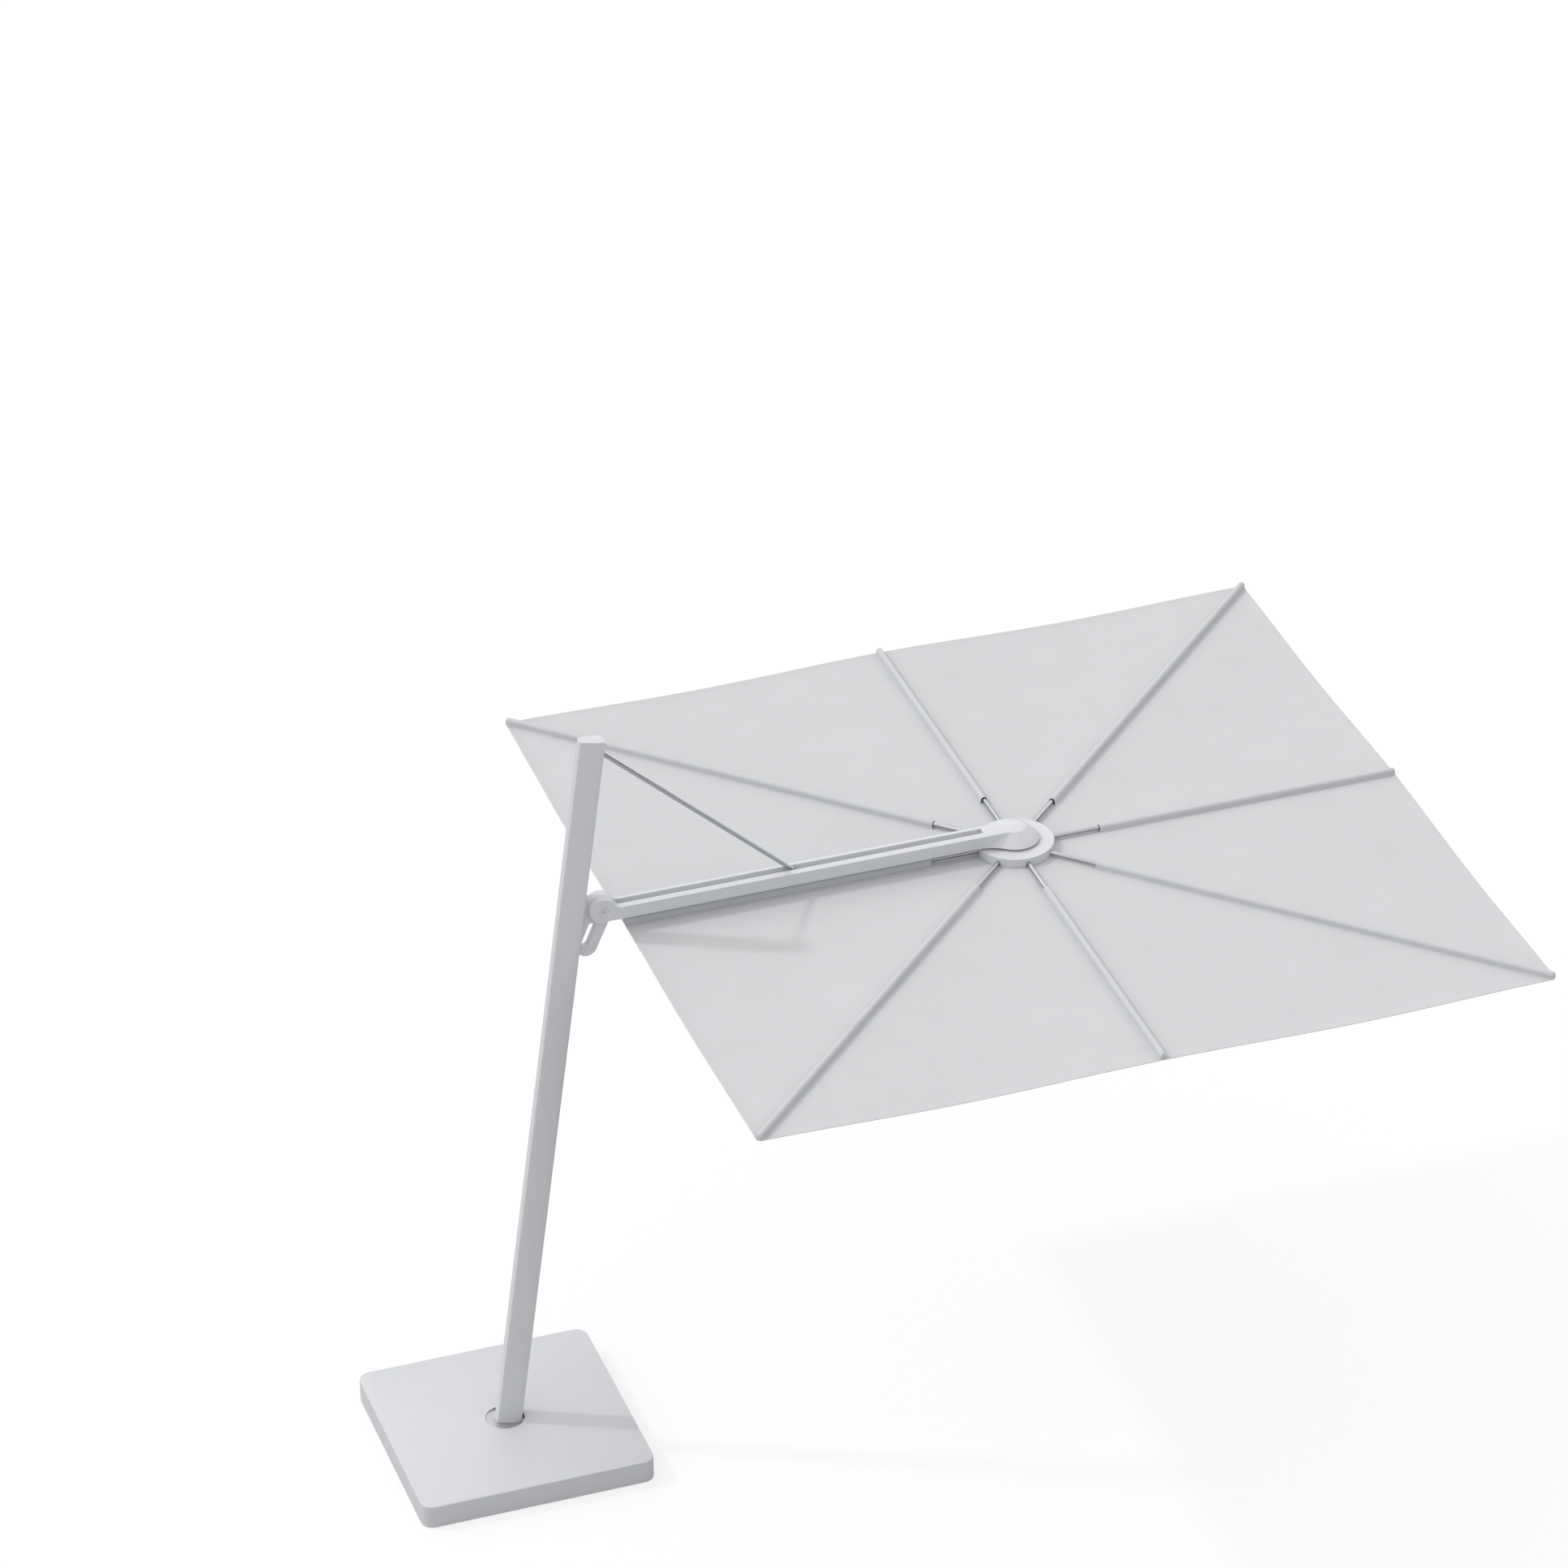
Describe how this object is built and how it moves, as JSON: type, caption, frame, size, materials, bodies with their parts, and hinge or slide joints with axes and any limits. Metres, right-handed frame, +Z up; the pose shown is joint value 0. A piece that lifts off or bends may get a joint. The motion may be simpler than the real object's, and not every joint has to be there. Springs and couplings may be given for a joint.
{
  "type": "cantilever parasol",
  "caption": "Garden parasol with a square weighted base, a leaning slotted mast, a sliding carriage, a side arm with a strut, and a flat square canopy on folding ribs.",
  "frame": {"origin": "on the ground, under the centre of the square base and on the axis the mast swivels about", "axes": "+X from the mast towards the canopy, +Z up, +Y across, to the left as seen looking along +X"},
  "size_m": [3.9919, 3.0198, 2.9717],
  "materials": {
    "frame": "satin",
    "base_paint": "matte",
    "ballast_steel": "matte",
    "swivel_steel": "satin",
    "disc_steel": "satin",
    "trim": "polished",
    "fastener": "satin",
    "rod_metal": "polished",
    "nylon": "matte",
    "foot_rubber": "matte",
    "canopy_cloth": "matte"
  },
  "bodies": {
    "base": {"base_cover": "base_paint", "ballast_plate": "ballast_steel", "bearing_housing": "ballast_steel", "trim_ring": "trim", "base_foot_1": "foot_rubber", "base_foot_2": "foot_rubber", "base_foot_3": "foot_rubber", "base_foot_4": "foot_rubber"},
    "mast": {"swivel_cup": "swivel_steel", "turntable_disc": "disc_steel", "disc_screw_1": "fastener", "disc_screw_2": "fastener", "disc_screw_3": "fastener", "disc_screw_4": "fastener", "mast_tube": "frame", "mast_top_cap": "frame"},
    "carriage": {"carriage_bracket": "frame", "slider_shoe": "nylon"},
    "arm": {"arm_beam": "frame", "knuckle_axle": "fastener", "knuckle_cap_front": "frame", "knuckle_cap_rear": "frame", "strut_pin_lower": "fastener", "hub_disc": "frame", "canopy_centre_patch": "canopy_cloth", "clamp_plate": "frame"},
    "strut": {"strut_rod": "rod_metal", "strut_pin_upper": "fastener"},
    "rib_1": {"rib_1": "rod_metal", "canopy_sleeve_1": "canopy_cloth"},
    "rib_2": {"rib_2": "rod_metal", "canopy_sleeve_2": "canopy_cloth"},
    "rib_3": {"rib_3": "rod_metal", "canopy_sleeve_3": "canopy_cloth"},
    "rib_4": {"rib_4": "rod_metal", "canopy_sleeve_4": "canopy_cloth"},
    "rib_5": {"rib_5": "rod_metal", "canopy_sleeve_5": "canopy_cloth"},
    "rib_6": {"rib_6": "rod_metal", "canopy_sleeve_6": "canopy_cloth"},
    "rib_7": {"rib_7": "rod_metal", "canopy_sleeve_7": "canopy_cloth"},
    "rib_8": {"rib_8": "rod_metal", "canopy_sleeve_8": "canopy_cloth"},
    "panel_1a": {"canopy_panel_1a": "canopy_cloth"},
    "panel_1b": {"canopy_panel_1b": "canopy_cloth"},
    "panel_2a": {"canopy_panel_2a": "canopy_cloth"},
    "panel_2b": {"canopy_panel_2b": "canopy_cloth"},
    "panel_3a": {"canopy_panel_3a": "canopy_cloth"},
    "panel_3b": {"canopy_panel_3b": "canopy_cloth"},
    "panel_4a": {"canopy_panel_4a": "canopy_cloth"},
    "panel_4b": {"canopy_panel_4b": "canopy_cloth"},
    "panel_5a": {"canopy_panel_5a": "canopy_cloth"},
    "panel_5b": {"canopy_panel_5b": "canopy_cloth"},
    "panel_6a": {"canopy_panel_6a": "canopy_cloth"},
    "panel_6b": {"canopy_panel_6b": "canopy_cloth"},
    "panel_7a": {"canopy_panel_7a": "canopy_cloth"},
    "panel_7b": {"canopy_panel_7b": "canopy_cloth"},
    "panel_8a": {"canopy_panel_8a": "canopy_cloth"},
    "panel_8b": {"canopy_panel_8b": "canopy_cloth"}
  },
  "joints": [
    {"name": "mast_swivel", "type": "hinge", "parent": "base", "child": "mast", "pos_m": [0, 0, 0.09], "axis": [0, 0, 1], "continuous": true},
    {"name": "carriage_slide", "type": "slide", "parent": "mast", "child": "carriage", "axis": [-0.143, 0, -0.9897], "range_m": [0, 1.0513]},
    {"name": "arm_fold", "type": "hinge", "parent": "carriage", "child": "arm", "pos_m": [0.439, 0, 2.258], "axis": [0, -1, 0], "range_deg": [0, 78.94]},
    {"name": "strut_swing", "type": "hinge", "parent": "arm", "child": "strut", "pos_m": [1.1733, 0, 2.258], "axis": [0, 1, 0], "range_deg": [0, 128.13]},
    {"name": "canopy_fold", "type": "hinge", "parent": "arm", "child": "rib_1", "pos_m": [2.092, 0, 2.184], "axis": [0, 1, 0], "range_deg": [0, 85]},
    {"name": "panel_1a_fold", "type": "hinge", "parent": "rib_1", "child": "panel_1a", "pos_m": [2.182, 0, 2.184], "axis": [-1, 0, 0], "range_deg": [0, 63.6]},
    {"name": "panel_1b_fold", "type": "hinge", "parent": "rib_1", "child": "panel_1b", "pos_m": [2.182, 0, 2.184], "axis": [1, 0, 0], "range_deg": [0, 63.6]},
    {"name": "rib_2_fold", "type": "hinge", "parent": "arm", "child": "rib_2", "pos_m": [2.07443, 0.04243, 2.184], "axis": [-0.7071, 0.7071, 0], "range_deg": [0, 85]},
    {"name": "panel_2a_fold", "type": "hinge", "parent": "rib_2", "child": "panel_2a", "pos_m": [2.13807, 0.10607, 2.184], "axis": [-0.7071, -0.7071, 0], "range_deg": [0, 63.6]},
    {"name": "panel_2b_fold", "type": "hinge", "parent": "rib_2", "child": "panel_2b", "pos_m": [2.13807, 0.10607, 2.184], "axis": [0.7071, 0.7071, 0], "range_deg": [0, 63.6]},
    {"name": "rib_3_fold", "type": "hinge", "parent": "arm", "child": "rib_3", "pos_m": [2.032, 0.06, 2.184], "axis": [-1, 0, 0], "range_deg": [0, 85]},
    {"name": "panel_3a_fold", "type": "hinge", "parent": "rib_3", "child": "panel_3a", "pos_m": [2.032, 0.15, 2.184], "axis": [0, -1, 0], "range_deg": [0, 63.6]},
    {"name": "panel_3b_fold", "type": "hinge", "parent": "rib_3", "child": "panel_3b", "pos_m": [2.032, 0.15, 2.184], "axis": [0, 1, 0], "range_deg": [0, 63.6]},
    {"name": "rib_4_fold", "type": "hinge", "parent": "arm", "child": "rib_4", "pos_m": [1.98957, 0.04243, 2.184], "axis": [-0.7071, -0.7071, 0], "range_deg": [0, 85]},
    {"name": "panel_4a_fold", "type": "hinge", "parent": "rib_4", "child": "panel_4a", "pos_m": [1.92593, 0.10607, 2.184], "axis": [0.7071, -0.7071, 0], "range_deg": [0, 63.6]},
    {"name": "panel_4b_fold", "type": "hinge", "parent": "rib_4", "child": "panel_4b", "pos_m": [1.92593, 0.10607, 2.184], "axis": [-0.7071, 0.7071, 0], "range_deg": [0, 63.6]},
    {"name": "rib_5_fold", "type": "hinge", "parent": "arm", "child": "rib_5", "pos_m": [1.972, 0, 2.184], "axis": [0, -1, 0], "range_deg": [0, 85]},
    {"name": "panel_5a_fold", "type": "hinge", "parent": "rib_5", "child": "panel_5a", "pos_m": [1.882, 0, 2.184], "axis": [1, 0, 0], "range_deg": [0, 63.6]},
    {"name": "panel_5b_fold", "type": "hinge", "parent": "rib_5", "child": "panel_5b", "pos_m": [1.882, 0, 2.184], "axis": [-1, 0, 0], "range_deg": [0, 63.6]},
    {"name": "rib_6_fold", "type": "hinge", "parent": "arm", "child": "rib_6", "pos_m": [1.98957, -0.04243, 2.184], "axis": [0.7071, -0.7071, 0], "range_deg": [0, 85]},
    {"name": "panel_6a_fold", "type": "hinge", "parent": "rib_6", "child": "panel_6a", "pos_m": [1.92593, -0.10607, 2.184], "axis": [0.7071, 0.7071, 0], "range_deg": [0, 63.6]},
    {"name": "panel_6b_fold", "type": "hinge", "parent": "rib_6", "child": "panel_6b", "pos_m": [1.92593, -0.10607, 2.184], "axis": [-0.7071, -0.7071, 0], "range_deg": [0, 63.6]},
    {"name": "rib_7_fold", "type": "hinge", "parent": "arm", "child": "rib_7", "pos_m": [2.032, -0.06, 2.184], "axis": [1, 0, 0], "range_deg": [0, 85]},
    {"name": "panel_7a_fold", "type": "hinge", "parent": "rib_7", "child": "panel_7a", "pos_m": [2.032, -0.15, 2.184], "axis": [0, 1, 0], "range_deg": [0, 63.6]},
    {"name": "panel_7b_fold", "type": "hinge", "parent": "rib_7", "child": "panel_7b", "pos_m": [2.032, -0.15, 2.184], "axis": [0, -1, 0], "range_deg": [0, 63.6]},
    {"name": "rib_8_fold", "type": "hinge", "parent": "arm", "child": "rib_8", "pos_m": [2.07443, -0.04243, 2.184], "axis": [0.7071, 0.7071, 0], "range_deg": [0, 85]},
    {"name": "panel_8a_fold", "type": "hinge", "parent": "rib_8", "child": "panel_8a", "pos_m": [2.13807, -0.10607, 2.184], "axis": [-0.7071, 0.7071, 0], "range_deg": [0, 63.6]},
    {"name": "panel_8b_fold", "type": "hinge", "parent": "rib_8", "child": "panel_8b", "pos_m": [2.13807, -0.10607, 2.184], "axis": [0.7071, -0.7071, 0], "range_deg": [0, 63.6]}
  ],
  "couplings": [
    {"joint": "arm_fold", "follows": "carriage_slide", "rad_per_m": 1.3105},
    {"joint": "strut_swing", "follows": "carriage_slide", "rad_per_m": 2.127},
    {"joint": "panel_1a_fold", "follows": "canopy_fold", "ratio": 0.7482},
    {"joint": "panel_1b_fold", "follows": "canopy_fold", "ratio": 0.7482},
    {"joint": "rib_2_fold", "follows": "canopy_fold", "ratio": 1},
    {"joint": "panel_2a_fold", "follows": "canopy_fold", "ratio": 0.7482},
    {"joint": "panel_2b_fold", "follows": "canopy_fold", "ratio": 0.7482},
    {"joint": "rib_3_fold", "follows": "canopy_fold", "ratio": 1},
    {"joint": "panel_3a_fold", "follows": "canopy_fold", "ratio": 0.7482},
    {"joint": "panel_3b_fold", "follows": "canopy_fold", "ratio": 0.7482},
    {"joint": "rib_4_fold", "follows": "canopy_fold", "ratio": 1},
    {"joint": "panel_4a_fold", "follows": "canopy_fold", "ratio": 0.7482},
    {"joint": "panel_4b_fold", "follows": "canopy_fold", "ratio": 0.7482},
    {"joint": "rib_5_fold", "follows": "canopy_fold", "ratio": 1},
    {"joint": "panel_5a_fold", "follows": "canopy_fold", "ratio": 0.7482},
    {"joint": "panel_5b_fold", "follows": "canopy_fold", "ratio": 0.7482},
    {"joint": "rib_6_fold", "follows": "canopy_fold", "ratio": 1},
    {"joint": "panel_6a_fold", "follows": "canopy_fold", "ratio": 0.7482},
    {"joint": "panel_6b_fold", "follows": "canopy_fold", "ratio": 0.7482},
    {"joint": "rib_7_fold", "follows": "canopy_fold", "ratio": 1},
    {"joint": "panel_7a_fold", "follows": "canopy_fold", "ratio": 0.7482},
    {"joint": "panel_7b_fold", "follows": "canopy_fold", "ratio": 0.7482},
    {"joint": "rib_8_fold", "follows": "canopy_fold", "ratio": 1},
    {"joint": "panel_8a_fold", "follows": "canopy_fold", "ratio": 0.7482},
    {"joint": "panel_8b_fold", "follows": "canopy_fold", "ratio": 0.7482}
  ]
}
